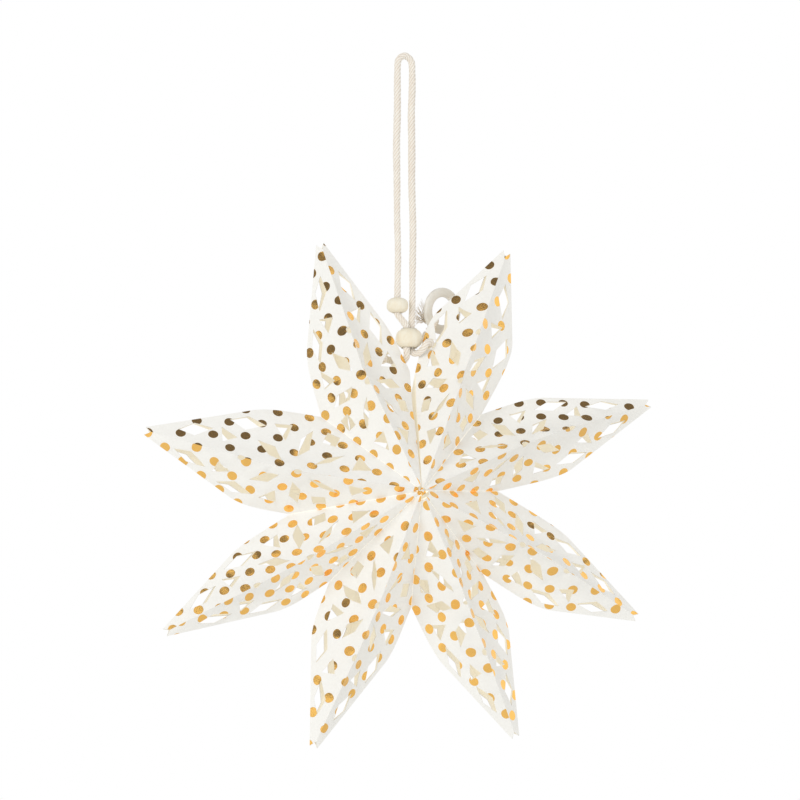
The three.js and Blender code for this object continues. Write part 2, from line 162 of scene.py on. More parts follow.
def cotton_material():
    material, tree, shader = new_material("cotton")
    fibres = object_noise(tree, Scale=1500.0, Detail=4.0, Roughness=0.65)
    mottle = object_noise(tree, Scale=160.0, Detail=2.0)
    both = add_node(tree, "ShaderNodeMath", operation="ADD")
    link(tree, fibres, "Fac", both, 0)
    link(tree, mottle, "Fac", both, 1)
    halved = add_node(tree, "ShaderNodeMath", operation="MULTIPLY", at_1=0.5)
    link(tree, both, "Value", halved, 0)
    cream = two_tone(tree, halved, "Value", (0.88, 0.80, 0.71), (0.97, 0.935, 0.86), 0.3, 0.62)
    # This attribute mixes in a darker brown along the furrows between the plies, a painted shade
    furrow_and_shade = add_node(tree, "ShaderNodeAttribute", attribute_name="furrow_and_shade")
    shade = add_node(tree, "ShaderNodeMix", data_type="RGBA", blend_type="MIX")
    link(tree, furrow_and_shade, "Fac", shade, "Factor")
    link(tree, cream, "Color", shade, 6)
    shade.inputs[7].default_value = (0.74, 0.60, 0.46, 1)
    link(tree, shade, 2, shader, "Base Color")
    set_inputs(shader, {"Roughness": 0.9, "Sheen Weight": 0.25, "Sheen Roughness": 0.6})
    bumped(tree, shader, fibres, "Fac", 0.5, 0.0002)
    return material


cotton = cotton_material()


def add_object(name, data):
    thing = bpy.data.objects.new(name, data)
    scene.collection.objects.link(thing)
    return thing


def add_mesh(name, vertices, faces, body):
    """A smooth mesh object from points in metres, riding on a CAD body."""
    mesh = bpy.data.meshes.new(name)
    mesh.from_pydata([tuple(map(float, v)) for v in vertices], [], [tuple(map(int, f)) for f in faces])
    mesh.polygons.foreach_set("use_smooth", [True] * len(mesh.polygons))
    thing = add_object(name, mesh)
    if body:
        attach(thing, body)
    return thing


def run_lengths(path):
    steps = np.linalg.norm(np.diff(path, axis=0), axis=1)
    return np.concatenate([[0], np.cumsum(steps)])


def smooth_route(points, step):
    """A centripetal curve through the points, in even steps."""
    points = np.array(points, float)
    ends = [2 * points[0] - points[1], *points, 2 * points[-1] - points[-2]]
    dense = []
    for a, b, c, d in zip(ends, ends[1:], ends[2:], ends[3:]):
        t1 = np.linalg.norm(b - a) ** 0.5
        t2 = t1 + np.linalg.norm(c - b) ** 0.5
        t3 = t2 + np.linalg.norm(d - c) ** 0.5
        for t in np.linspace(t1, t2, 24, endpoint=False):
            ab = a + (b - a) * t / t1
            bc = b + (c - b) * (t - t1) / (t2 - t1)
            cd = c + (d - c) * (t - t2) / (t3 - t2)
            low = ab + (bc - ab) * t / t2
            high = bc + (cd - bc) * (t - t1) / (t3 - t1)
            dense.append(low + (high - low) * (t - t1) / (t2 - t1))
    dense = np.array([*dense, points[-1]])
    run = run_lengths(dense)
    places = np.linspace(0, run[-1], int(run[-1] / step) + 1)
    return np.stack([np.interp(places, run, dense[:, k]) for k in range(3)], axis=1)


def frames_along(path):
    """The two side directions at each place of a path, turned as little as possible."""
    tangents = np.gradient(path, axis=0)
    tangents /= np.linalg.norm(tangents, axis=1)[:, None]
    side = np.cross(tangents[0], [0, 1, 0])
    if np.linalg.norm(side) < 0.2:
        side = np.cross(tangents[0], [1, 0, 0])
    sides = []
    for tangent in tangents:
        side = side - tangent * np.dot(side, tangent)
        side = side / np.linalg.norm(side)
        sides.append(side)
    sides = np.array(sides)
    return sides, np.cross(tangents, sides)


def tube_faces(rings, around):
    """The side faces of a tube that has so many rings of points."""
    faces = []
    for first in range(0, (rings - 1) * around, around):
        for j in range(around):
            k = (j + 1) % around
            faces.append((first + j, first + k, first + around + k, first + around + j))
    return faces


def rope(name, path, radius, plies, lay, body, around=48, swell=None):
    """A laid cord along a path in millimetres: plies that wind once round it in each lay."""
    sides, ups = frames_along(path)
    run = run_lengths(path)
    angles = np.linspace(0, 2 * math.pi, around, endpoint=False)
    phase = plies * (angles[None, :] - 2 * math.pi * run[:, None] / lay) / 2
    furrow_and_shade = 1 - np.abs(np.cos(phase)) ** PLY_ROUNDNESS
    slub = 1 + SLUB * np.sin(run * 0.31) + SLUB * np.sin(run * 0.83 + 1)
    if swell is not None:
        slub = slub * swell(path)
    reach = radius * slub[:, None] * (1 - PLY_DEPTH * furrow_and_shade)
    points = (path[:, None, :] + reach[:, :, None] * (
        np.cos(angles)[None, :, None] * sides[:, None, :]
        + np.sin(angles)[None, :, None] * ups[:, None, :]))
    vertices = [*points.reshape(-1, 3), path[0], path[-1]]
    faces = tube_faces(len(path), around)
    start, end = len(vertices) - 2, len(vertices) - 1
    last = start - around
    for j in range(around):
        k = (j + 1) % around
        faces += [(start, k, j), (end, last + j, last + k)]
    thing = add_mesh(name, np.array(vertices) / 1000, faces, body)
    # The furrows' depth is also stored as the mask for the painted shade in them
    shade = thing.data.attributes.new("furrow_and_shade", "FLOAT", "POINT")
    values = np.append(np.clip(furrow_and_shade * 1.5 - 0.45, 0, 1).ravel(), [1, 1])
    shade.data.foreach_set("value", values.astype(np.float32))
    thing.data.materials.append(cotton)
    return thing


def nudged(path):
    """Small bends of a soft cord, on its two long strands only."""
    z = path[:, 2]
    amount = (np.clip((z - BENDS_BOTTOM) / BENDS_EASE, 0, 1)
              * np.clip((BENDS_TOP - z) / BENDS_EASE, 0, 1))
    left, right = (sum(size * np.sin(z / length + start) for size, length, start in bends)
                   for bends in (LEFT_BENDS, RIGHT_BENDS))
    moved = path.copy()
    moved[:, 0] += amount * np.where(path[:, 0] < 0, left + LEFT_SHIFT, right)
    return moved


def swelling(path):
    """The soft cord is fuller in the middle of its strands and drawn thin at the beads."""
    left, right = (np.interp(path[:, 2], *zip(*swell)) for swell in (LEFT_SWELL, RIGHT_SWELL))
    return np.where(path[:, 0] < 0, left, right)


whole_cord = nudged(smooth_route(ROUTE, step=0.45))
in_bead = np.nonzero(np.abs(whole_cord[:, 2] - LARGE_BEAD_Z) < 0.4)[0]
first_cut = in_bead[in_bead < len(whole_cord) // 2][0]
second_cut = in_bead[in_bead > len(whole_cord) // 2][0]
loop_path = whole_cord[first_cut:second_cut + 1]
cord_loop = rope("cord_loop", loop_path, CORD_RADIUS, PLIES, LAY, None, swell=swelling)
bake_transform(cord_loop)
left_end = rope("cord_left_end", whole_cord[:first_cut + 1], CORD_RADIUS, PLIES, LAY, None)
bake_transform(left_end)
right_end = rope("cord_right_end", whole_cord[second_cut:], CORD_RADIUS, PLIES, LAY, None)
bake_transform(right_end)
for piece in (cord_loop, left_end, right_end):
    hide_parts("hanging_cord")


# The stopper knot
# An overhand knot in the cord's first end, drawn tight inside the first point, under its paper. It
# keeps that end from slipping out.
KNOT_RADIUS, KNOT_REACH, KNOT_HEIGHT, KNOT_OFFSET = 1.75, 1.75, 2.0125, 3.5


def knot_path():
    start, after = whole_cord[0], whole_cord[4]
    axis = (start - after) / np.linalg.norm(start - after)
    side = np.cross(axis, [0, 0, 1])
    side /= np.linalg.norm(side)
    up = np.cross(axis, side)
    middle = start + axis * KNOT_OFFSET
    points = []
    for t in np.linspace(0, 2 * math.pi * 1.6, 40):
        points.append(middle + KNOT_REACH * (side * math.cos(t) + up * math.sin(t))
                      + axis * KNOT_HEIGHT * math.cos(1.5 * t))
    return smooth_route(points, step=0.35)


knot = rope("stopper_knot_cord", knot_path(), KNOT_RADIUS, PLIES, LAY, "star", around=36)
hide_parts("stopper_knot")


# The ring
# A ring of moulded pearly plastic that stops the cord's second end. It leans on the back of the
# second point, and its band is a rounded rectangle with a soft sheen.
RING_CENTRE = Vector((24.9063, 11.1408, -142.6430)) / 1000
RING_AXES = Matrix(((-0.56175, -0.16498, -0.81069), (-0.70432, -0.41869, 0.57326),
                    (-0.43401, 0.89302, 0.11900))).transposed()
BAND_RADIUS, BAND_HALF_WIDTH, BAND_HALF_DEPTH = 10.65, 2.65, 1.3
BAND_SIDES, BAND_SQUARENESS = 28, 0.45


def in_ring(x, y, z):
    return RING_CENTRE + RING_AXES @ Vector((x, y, z)) / 1000


def smooth_object(work, name, body):
    """A bmesh made a smooth object that rides on a CAD body."""
    for face in work.faces:
        face.smooth = True
    mesh = bpy.data.meshes.new(name)
    work.to_mesh(mesh)
    work.free()
    thing = add_object(name, mesh)
    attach(thing, body)
    return thing


def turned(name, outline, steps, place, body):
    """A closed outline of (radius, height) pairs in millimetres, spun once round."""
    work = bmesh.new()
    points = [work.verts.new((radius, 0, height)) for radius, height in outline]
    edges = [work.edges.new(pair) for pair in zip(points, [*points[1:], points[0]])]
    bmesh.ops.spin(work, geom=[*points, *edges], cent=(0, 0, 0), axis=(0, 0, 1),
                   angle=2 * math.pi, steps=steps, use_merge=True)
    bmesh.ops.transform(work, matrix=place @ Matrix.Scale(0.001, 4), verts=work.verts)
    bmesh.ops.recalc_face_normals(work, faces=work.faces)
    return smooth_object(work, name, body)


def band_outline():
    outline = []
    for k in range(BAND_SIDES):
        angle = 2 * math.pi * k / BAND_SIDES
        across, deep = (math.copysign(abs(share) ** BAND_SQUARENESS, share)
                        for share in (math.cos(angle), math.sin(angle)))
        outline.append((BAND_RADIUS + BAND_HALF_WIDTH * across, BAND_HALF_DEPTH * deep))
    return outline


def pearl_material():
    material, tree, shader = new_material("pearl")
    swirl = object_noise(tree, Scale=90.0, Detail=3.0, Distortion=1.5)
    colour = two_tone(tree, swirl, "Fac", (0.86, 0.82, 0.74), (0.96, 0.94, 0.88), 0.35, 0.7)
    link(tree, colour, "Color", shader, "Base Color")
    set_inputs(shader, {"Roughness": 0.28, "Coat Weight": 0.5, "Coat Roughness": 0.12,
                        "Sheen Weight": 0.1})
    return material


ring_place = Matrix.Translation(RING_CENTRE) @ RING_AXES.to_4x4()
ring = turned("pearl_ring", band_outline(), 96, ring_place, "star")
ring.data.materials.append(pearl_material())
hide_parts("cord_ring")


# The hitch
# The cord's second end goes once round the ring's band, in the same cotton, drawn thin and pulled
# tight. That holds the ring on the cord.
HITCH_RADIUS, HITCH_STANDOFF, HITCH_SPREAD, HITCH_START = 1.05, 1.3, 1.1, 0.6
HITCH_PLIES, HITCH_LAY = 5, 9.0
hitch_points = []
for share in np.linspace(0, 1, 41):
    angle = 2 * math.pi * share + HITCH_START
    hitch_points.append(1000 * in_ring(
        BAND_RADIUS + (BAND_HALF_WIDTH + HITCH_STANDOFF) * math.cos(angle),
        HITCH_SPREAD * (share - 0.5),
        (BAND_HALF_DEPTH + HITCH_STANDOFF) * math.sin(angle)))
hitch_path = smooth_route(hitch_points, step=0.4)
hitch = rope("ring_hitch_cord", hitch_path, HITCH_RADIUS, HITCH_PLIES, HITCH_LAY, "star", around=30)
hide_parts("ring_hitch")


# The frayed tail
# The cord's second end, opened into loose yarns that fan out behind the ring and curl at the tips.
# Single yarns have no furrows and look a little darker than the laid cord.
STRANDS = 44
FAN_START, FAN_SWEEP = -44, 84
SHORT_STRAND, LONG_STRAND = 10.0, 14.5
YARN_RADII, YARN_SIDES = (0.11, 0.18), 5
# Where the yarns start, in the ring's own frame
TAIL_ROOT = (BAND_RADIUS, 2.1, 3.12)


def yarn_path(share, random):
    """One curling yarn, whose random draws are always made in the same order."""
    swing = math.radians(FAN_START + FAN_SWEEP * (share + random.uniform(0, 1) / STRANDS))
    length = np.interp(share, [0, 1], [SHORT_STRAND, LONG_STRAND]) * random.uniform(0.72, 1.0)
    lift = random.uniform(0.02, 0.32)
    root = random.uniform(-1, 1, 2) * 0.9
    curl = random.uniform(-1, 1, 3)
    wave = random.uniform(0, 6.3)
    path = []
    for t in np.linspace(0, 1, 19):
        fan = swing * min(1, t * 2.2)
        along = length * t
        bend = t * t * (1.1 * math.sin(7 * t + wave) + 1.2 * curl[0])
        path.append(1000 * in_ring(
            TAIL_ROOT[0] + root[0] * (1 - t) - along * math.sin(fan) + bend * math.cos(fan),
            TAIL_ROOT[1] + along * math.cos(fan) + bend * math.sin(fan),
            TAIL_ROOT[2] + root[1] * (1 - 0.5 * t) + along * lift * 0.7 + curl[2] * 0.6 * t * t))
    return np.array(path)


def yarn_tube(path, radius):
    """The points and faces of one tapered yarn."""
    points = []
    for t, centre, side, up in zip(np.linspace(0, 1, len(path)), path, *frames_along(path)):
        thin = radius * (1 - 0.55 * t ** 2)
        for angle in np.linspace(0, 2 * math.pi, YARN_SIDES, endpoint=False):
            points.append((centre + thin * (math.cos(angle) * side + math.sin(angle) * up)) / 1000)
    root = tuple(reversed(range(YARN_SIDES)))
    tip = tuple(range(len(points) - YARN_SIDES, len(points)))
    return points, [*tube_faces(len(path), YARN_SIDES), root, tip]


def yarn_material():
    material, tree, shader = new_material("cotton_yarn")
    flecks = object_noise(tree, Scale=700.0, Detail=3.0)
    colour = two_tone(tree, flecks, "Fac", (0.82, 0.72, 0.59), (0.95, 0.88, 0.78), 0.35, 0.65)
    link(tree, colour, "Color", shader, "Base Color")
    set_inputs(shader, {"Roughness": 0.9})
    return material


random = np.random.default_rng(11)
tail_points, tail_faces = [], []
for k in range(STRANDS):
    path = yarn_path(k / STRANDS, random)
    points, faces = yarn_tube(path, random.uniform(*YARN_RADII))
    tail_faces += [tuple(len(tail_points) + v for v in face) for face in faces]
    tail_points += points
tail = add_mesh("frayed_yarns", tail_points, tail_faces, "star")
tail.data.materials.append(yarn_material())
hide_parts("frayed_tail")


# The wooden beads
# Two turned beads of pale, unvarnished wood, drilled through. The small one has only the left
# strand in it, and the large one has both.
BEAD_ROUNDNESS = 2.5
# The eased rim of a bore: how far it widens in two steps, and how deep in the bore these start
RIM_WIDTHS, RIM_DEPTHS = (0.08, 0.35), (0.5, 0.2)
MARK_STEP, STRAIGHT_MARK_STEP = 8, 32
STRAIGHT_BOTTOM, STRAIGHT_TOP = -130, -12


def wood_material():
    material, tree, shader = new_material("pale_wood")
    place = add_node(tree, "ShaderNodeTexCoord")
    spread = add_node(tree, "ShaderNodeMapping")
    set_inputs(spread, {"Scale": (0.5, 0.35, 0.14), "Rotation": (0.3, 0.5, 0.2)})
    link(tree, place, "Object", spread, "Vector")
    grain = add_node(tree, "ShaderNodeTexNoise", Scale=900.0, Detail=5.0, Roughness=0.6, Distortion=0.6)
    link(tree, spread, "Vector", grain, "Vector")
    colour = two_tone(tree, grain, "Fac", (0.90, 0.81, 0.63), (0.95, 0.90, 0.76), 0.3, 0.65)
    link(tree, colour, "Color", shader, "Base Color")
    set_inputs(shader, {"Roughness": 0.5, "Coat Weight": 0.08})
    bumped(tree, shader, grain, "Fac", 0.15, 0.0001)
    return material


wood = wood_material()


def bead(name, node, body, centre, width, height, bore):
    """A drilled bead with a flat-topped round outline and eased rims."""
    outer, half, hole = width / 2, height / 2, bore / 2
    step = hole + RIM_WIDTHS[0]
    outline = [(hole, half - RIM_DEPTHS[0]), (hole, 0.0), (hole, RIM_DEPTHS[0] - half)]
    outline.append((step, RIM_DEPTHS[1] - half))
    rim = (hole + RIM_WIDTHS[1]) / outer
    rim_height = half * (1 - rim ** BEAD_ROUNDNESS) ** (1 / BEAD_ROUNDNESS)
    for angle in np.linspace(-math.pi / 2, math.pi / 2, 37):
        z = rim_height * math.sin(angle)
        outline.append((outer * (1 - (abs(z) / half) ** BEAD_ROUNDNESS) ** (1 / BEAD_ROUNDNESS), z))
    outline.append((step, half - RIM_DEPTHS[1]))
    thing = turned(name, outline, 72, Matrix.Translation(Vector(centre) / 1000), body)
    thing.data.materials.append(wood)
    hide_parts(node)
    return thing


large_bead = bead("large_wooden_bead", "large_bead", "large_slider",
                  (2.45, 0, LARGE_BEAD_Z), width=15.2, height=11.4, bore=8.8)
small_bead = bead("small_wooden_bead", "small_bead", "small_slider",
                  (LEFT_X, -1, -142.7), width=12.3, height=8.9, bore=5.5)

# Places along the cord's route, more of them where it bends
on_straight = (loop_path[:, 2] > STRAIGHT_BOTTOM) & (loop_path[:, 2] < STRAIGHT_TOP)
marks = [k for k in range(0, len(loop_path) - 4, MARK_STEP)
         if k % STRAIGHT_MARK_STEP == 0 or not on_straight[k]]
marks.append(len(loop_path) - 1)


# The star points
# Eight leaves of stiff white paper, each die-cut in one sheet, folded along its ridge and its side
# edges and glued to its neighbours. Round dots of gold foil are pressed on its outside, and its
# inside is plain cream, lit up by a painted warm glow.
PAPER, GLUE_FILM, GLUE_CLEARANCE, SEAM_GAP = 0.35, 0.3, 0.25, 0.025
SIDES = {"left": 1, "right": -1}
# The ridge falls from its height at the star's middle to a bend, which is eased on both sides, and
# each edge goes over a shoulder to one prong of the notched tip
APEX, BEND, BEND_HEIGHT, RIDGE_EASE, RIDGE_DIP = 37, 78, 27, 18, 1.4
SHOULDER_STEP, SHOULDER_BULGE, PRONG, TIP_HEIGHT, NOTCH = 16, 1.2, 2.2, 1.5, 3
# Each point's direction, reach and lean, and its widest place on the left and on the right as
# (reach, half width)
POINTS = [
    (109, 153, 7, (89, 30), (90, 24)), (67.5, 157, 1, (99, 27), (101, 26)),
    (23, 157, 4, (90, 28), (90, 20)), (-24.5, 150, 2, (86, 26), (93, 21.5)),
    (-64, 148, -1, (84, 25), (84, 23)), (-110.5, 152, 1.5, (82, 24), (86, 25)),
    (-150, 161, 2.5, (89, 21.5), (96, 22.5)), (-192.5, 155, 6, (90, 27), (87, 31)),
]
INNER_ENDS = (3.0, 2.2, 2.6, 4.6, 4.8, 2.8, 3.0, 4.6)
# Each seam's direction and reach. The first, between points 1 and 2, isn't glued and gapes a little
SEAMS = [
    (86.5, 74), (48.5, 68), (7.5, 55), (-41.5, 61), (-86.5, 61), (-132.5, 65), (-171, 68), (-223, 67),
]
OPEN_SEAM, OPENING = 0, 1.2
# The windows of half a point, as shares of its reach and of the way from its ridge to its edge
WINDOWS = [
    [(0.885, 0.57), (0.825, 0.34), (0.76, 0.63), (0.83, 0.84)],
    [(0.732, 0.66), (0.672, 0.42), (0.724, 0.28)],
    [(0.705, 0.84), (0.645, 0.6), (0.573, 0.7), (0.64, 0.88)],
    [(0.6, 0.42), (0.558, 0.18), (0.507, 0.14), (0.535, 0.36)],
    [(0.545, 0.75), (0.498, 0.5), (0.478, 0.78)],
    [(0.452, 0.26), (0.41, 0.4), (0.4, 0.74), (0.442, 0.58)],
    [(0.364, 0.58), (0.315, 0.62), (0.3, 0.86), (0.347, 0.8)],
    [(0.397, 0.14), (0.335, 0.26), (0.282, 0.52), (0.343, 0.34)],
    [(0.256, 0.22), (0.182, 0.42), (0.23, 0.66)],
]
RIDGE_SLOTS, SLOT_HALF_LENGTH, SLOT_HALF_WIDTH = (0.45, 0.655), 2.1, 1.3
# The cord comes out through the back sheet of point 1, and goes through both sheets of point 2
CORD_HOLES, CORD_HOLE_RADIUS = {0: (-8, -173.2), 1: (14.3, -164.1)}, 3.1
PIERCED_IN_FRONT = 1
# How the foil's dots lie on the flat sheet, for the left and right half of each point: the turn
# in degrees, the sheet's stretch across, and where the rows start
FOIL = [
    ((31.2, 1.19, 0.82, 0.31), (21.7, 0.95, 0.82, 0.15)),
    ((41.3, 1.10, 0.84, 0.24), (31.0, 0.81, 0.99, 0.33)),
    ((63.0, 1.08, 0.82, 0.51), (54.2, 0.97, 0.86, 0.44)),
    ((87.1, 1.02, 0.92, 0.39), (25.6, 1.10, 0.73, 0.00)),
    ((46.4, 1.12, 0.05, 0.40), (20.2, 1.05, 0.98, 0.78)),
    ((71.9, 1.09, 0.31, 0.47), (55.0, 1.03, 0.35, 0.44)),
    ((65.4, 1.34, 0.88, 0.92), (48.4, 1.28, 0.25, 0.54)),
    ((64.2, 1.04, 0.90, 0.60), (49.9, 0.94, 0.87, 0.64)),
]
DOT_PITCH, DOT_RADIUS, BACK_SHIFT = 13.1, 2.88, 0.37
# How hollow each point's panels are pressed, how far out that starts and over what length it grows
HOLLOW = (1.3, 1.15, 1.2, 1.0, 1.0, 1.15, 0.95, 0.45)
HOLLOW_START, HOLLOW_LENGTH = 35, 50
# Past a lip next to each sheet, the walls stand back to leave room for the glue
WALL_LIP, LEAST_WALL, WALL_RECESS = 2.2, 1, GLUE_FILM / 2 + GLUE_CLEARANCE - SEAM_GAP
# The mesh on a point's plan: its step, where it starts, its half width, how near to a line counts
# as on it, and how many times the heights are smoothed
GRID, PLAN_START, PLAN_HALF_WIDTH, ON_LINE, SMOOTHINGS = 2.2, -12, 34, 0.02, 8
SHARP_FOLD = math.radians(18)


def seam_beside(index, side):
    return (index - 1) % len(SEAMS) if side == "left" else index


def on_wall(index, side, r):
    """A place on the wall that a point turns to its neighbour, so far from the star's middle."""
    sign, seam = SIDES[side], seam_beside(index, side)
    seam_direction, seam_reach = SEAMS[seam]
    opening = OPENING if seam == OPEN_SEAM else 0
    angle = math.radians((sign * (seam_direction - POINTS[index][0])) % 360 - opening)
    offset = PAPER / 2 + SEAM_GAP
    return (r * math.cos(angle) + offset * math.sin(angle),
            sign * (r * math.sin(angle) - offset * math.cos(angle)),
            APEX * (1 - r / seam_reach))


def point_corners(index):
    """The corners of one point in its own frame: x to the tip, z to its left, and the height."""
    _, reach, lean, *widest = POINTS[index]
    core = INNER_ENDS[index]
    corners = {"ridge": [(core, 0, APEX), (BEND, lean, BEND_HEIGHT), (reach - NOTCH, 0, TIP_HEIGHT)]}
    for (side, sign), (kink, width) in zip(SIDES.items(), widest):
        straight = width + (PRONG - width) * SHOULDER_STEP / (reach - kink)
        corners[side] = [
            on_wall(index, side, core), on_wall(index, side, SEAMS[seam_beside(index, side)][1]),
            (kink, sign * width, 0),
            (kink + SHOULDER_STEP, sign * (straight + SHOULDER_BULGE), 0),
            (reach, sign * PRONG, 0)]
    return corners


def along_corners(corners, x, value):
    """A straight run through corners, carried on past its two ends."""
    xs = [c[0] for c in corners]
    k = min(max(int(np.searchsorted(xs, x)), 1), len(xs) - 1)
    share = (x - xs[k - 1]) / (xs[k] - xs[k - 1])
    return corners[k - 1][value] + share * (corners[k][value] - corners[k - 1][value])


def on_plan(reach, corners, side, place):
    """The plan place of a share of the reach and a share of the way from ridge to edge."""
    x = place[0] * reach
    ridge = along_corners(corners["ridge"], x, 1)
    edge = along_corners(corners[side], x, 1)
    return (x, ridge + place[1] * (edge - ridge))


def facets_of(corners, side):
    """The flat facets that one half of a point is folded from."""
    start, valley, kink, shoulder, prong = corners[side]
    apex, bend, end = corners["ridge"]
    return [(apex, start, bend), (start, valley, bend), (bend, valley, kink),
            (bend, kink, shoulder), (bend, shoulder, prong), (bend, prong, end)]


def flat_facets(corners, side):
    """Where the same facets lie when the sheet is opened flat round the ridge's bend."""
    apex, bend, end = (np.array(c, float) for c in corners["ridge"])
    rim = [apex, *(np.array(c, float) for c in corners[side]), end]
    reaches = [np.linalg.norm(p - bend) for p in rim]
    angle, flat = math.pi, []
    for k, p in enumerate(rim):
        if k:
            before = (rim[k - 1] - bend) / reaches[k - 1]
            cosine = float(np.dot(before, (p - bend) / reaches[k]))
            angle -= SIDES[side] * math.acos(max(-1, min(1, cosine)))
        flat.append((reaches[k] * math.cos(angle), reaches[k] * math.sin(angle)))
    middle = (0.0, 0.0)
    apex, start, valley, kink, shoulder, prong, end = flat
    return [(apex, start, middle), (start, valley, middle), (middle, valley, kink),
            (middle, kink, shoulder), (middle, shoulder, prong), (middle, prong, end)]


def shares_in(facet, plan):
    """The corner shares of plan places in one facet."""
    (x0, z0), (x1, z1), (x2, z2) = ((c[0], c[1]) for c in facet)
    area = (z1 - z2) * (x0 - x2) + (x2 - x1) * (z0 - z2)
    a = ((z1 - z2) * (plan[:, 0] - x2) + (x2 - x1) * (plan[:, 1] - z2)) / area
    b = ((z2 - z0) * (plan[:, 0] - x2) + (x0 - x2) * (plan[:, 1] - z2)) / area
    return np.stack([a, b, 1 - a - b], axis=1)


def by_facet(facets, values, plan):
    """Values given at the facets' corners, read at plan places."""
    shares = np.stack([shares_in(facet, plan) for facet in facets])
    best = shares.min(axis=2).argmax(axis=0)
    picked = shares[best, np.arange(len(plan))]
    return np.einsum("ij,ijk->ik", picked, np.array(values, float)[best])


def inside_outline(outline, plan):
    x, z = plan[:, 0], plan[:, 1]
    result = np.zeros(len(plan), bool)
    for (x0, z0), (x1, z1) in zip(outline, [*outline[1:], outline[0]]):
        crosses = (z0 > z) != (z1 > z)
        with np.errstate(divide="ignore", invalid="ignore"):
            result ^= crosses & (x < (x1 - x0) * (z - z0) / (z1 - z0) + x0)
    return result


def softened(points, rounds):
    """An open line with its inner corners cut."""
    for _ in range(rounds):
        line = [points[0]]
        for a, b in zip(points, points[1:]):
            a, b = np.array(a, float), np.array(b, float)
            line += [tuple(a + (b - a) * 0.25), tuple(a + (b - a) * 0.75)]
        points = [line[0], *line[2:-2], points[-1]]
    return points


def divided(line, step):
    """An open line with extra points, about a step apart."""
    result = [line[0]]
    for a, b in zip(line, line[1:]):
        a, b = np.array(a), np.array(b)
        count = max(1, round(math.dist(a, b) / step))
        result += [tuple(a + (b - a) * k / count) for k in range(1, count + 1)]
    return result


def bent_curve(a, b, c):
    """A curve from a to c that bends towards b, without its first place."""
    a, b, c = (np.array(p, float) for p in (a, b, c))
    return [tuple((1 - t) ** 2 * a + 2 * t * (1 - t) * b + t * t * c) for t in np.linspace(0, 1, 9)[1:]]


def distance_to_line(line, plan):
    best = np.full(len(plan), 1e9)
    for a, b in zip(line, line[1:]):
        a, b = np.array(a), np.array(b)
        t = np.clip(((plan - a) @ (b - a)) / np.dot(b - a, b - a), 0, 1)
        best = np.minimum(best, np.linalg.norm(plan - a - t[:, None] * (b - a), axis=1))
    return best


def lies_on(lines, plan):
    return np.any([distance_to_line(line, plan) < ON_LINE for line in lines], axis=0)


def oval(x, z, half_length, half_width, sides):
    angles = [(k + 0.5) * 2 * math.pi / sides for k in range(sides)]
    return [(x + half_length * math.cos(angle), z + half_width * math.sin(angle)) for angle in angles]


def fold_lines(corners):
    """The ridge, the two walls and the two rims of a point, as finely divided lines on its plan."""
    apex, bend, end = ((x, z) for x, z, _ in corners["ridge"])
    before, after = ((x, along_corners(corners["ridge"], x, 1))
                     for x in (BEND - RIDGE_EASE, BEND + RIDGE_EASE))
    ridge = divided([apex, before, *bent_curve(before, bend, after), end], GRID * 1.2)
    walls, rims = {}, {}
    for side in SIDES:
        line = [(x, z) for x, z, _ in corners[side]]
        walls[side] = divided(line[:2], GRID * 1.3)
        rims[side] = divided(softened(line[1:], 3), GRID * 1.3)
    return ridge, walls, rims


def window_outlines(index, corners):
    """The windows of both halves of a point, and the slots on its ridge."""
    reach = POINTS[index][1]
    outlines = []
    for window in WINDOWS:
        for side in SIDES:
            line = [on_plan(reach, corners, side, corner) for corner in (*window, window[0])]
            outlines.append(divided(line, GRID * 1.6)[:-1])
    for share in RIDGE_SLOTS:
        place = on_plan(reach, corners, "left", (share, 0))
        outlines.append(oval(*place, SLOT_HALF_LENGTH, SLOT_HALF_WIDTH, 10))
    return outlines


def cord_outline(index):
    """The round hole for the cord, in the point's own frame."""
    turn = math.radians(POINTS[index][0])
    x, z = CORD_HOLES[index]
    z += STAR_DROP
    return oval(x * math.cos(turn) + z * math.sin(turn), z * math.cos(turn) - x * math.sin(turn),
                CORD_HOLE_RADIUS, CORD_HOLE_RADIUS, 18)


def triangulated(outline, ridge, holes, reach):
    """A point's plan in small triangles, with edges along its outline, its ridge and its holes."""
    points, segments = [], []
    for line, is_open in ((outline, False), (ridge, True), *((hole, False) for hole in holes)):
        first, count = len(points), len(line)
        points += line
        segments += [(first + k, first + (k + 1) % count) for k in range(count - is_open)]
    rows = enumerate(np.arange(-PLAN_HALF_WIDTH, PLAN_HALF_WIDTH, GRID * 0.87))
    grid = np.array([(x, z) for row, z in rows
                     for x in np.arange(PLAN_START + (row % 2) * GRID / 2, reach + 1, GRID)])
    keep = inside_outline(outline, grid)
    for line in (ridge, *([*loop, loop[0]] for loop in (outline, *holes))):
        keep &= distance_to_line(line, grid) > GRID * 0.5
    points += map(tuple, grid[keep])
    flat, _, triangles, *_ = delaunay_2d_cdt([Vector(p) for p in points], segments, [], 0, 1e-5, False)
    plan = np.array([tuple(v) for v in flat])
    triangles = np.array([t for t in triangles if len(t) == 3])
    triangles = triangles[inside_outline(outline, plan[triangles].mean(axis=1))]
    a, b, c = (plan[triangles[:, k]] for k in range(3))
    area = (b[:, 0] - a[:, 0]) * (c[:, 1] - a[:, 1]) - (b[:, 1] - a[:, 1]) * (c[:, 0] - a[:, 0])
    triangles[area < 0] = triangles[area < 0][:, ::-1]
    return plan, triangles[np.abs(area) > 1e-4]


